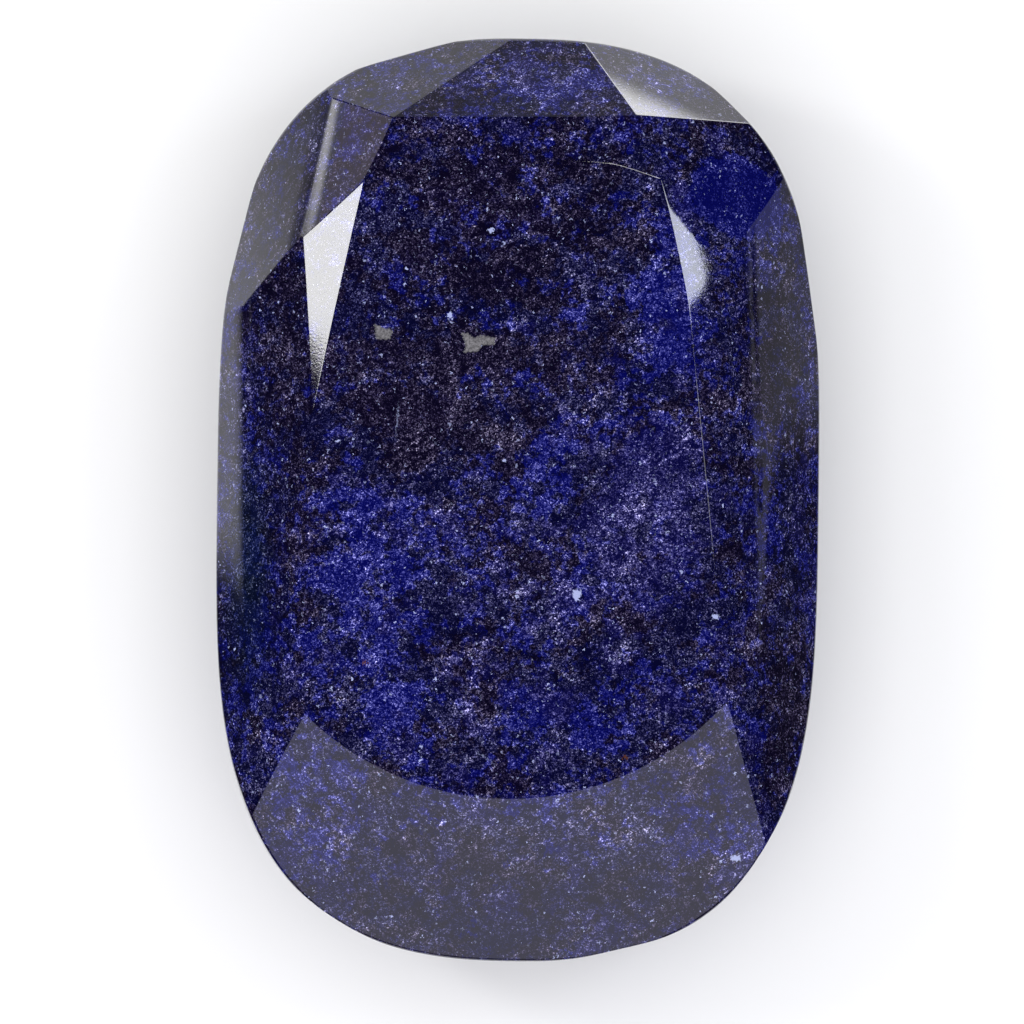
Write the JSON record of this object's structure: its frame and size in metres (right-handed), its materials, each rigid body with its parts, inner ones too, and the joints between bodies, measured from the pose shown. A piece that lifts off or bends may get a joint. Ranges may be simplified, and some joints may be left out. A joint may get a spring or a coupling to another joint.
{
  "type": "faceted sapphire",
  "caption": "Very large, opaque dark blue sapphire cut as a long cushion, with a broad flat table and polished facets, lying on its flat back.",
  "frame": {"origin": "middle of the flat back facet that the stone rests on", "axes": "+Z from the back facet towards the table, +Y along the stone's length towards the end with the narrow shelf, +X across the stone"},
  "size_m": [0.072, 0.11, 0.039],
  "materials": {
    "polished_sapphire": "polished"
  },
  "bodies": {
    "root": {"sapphire": "polished_sapphire"}
  },
  "joints": []
}
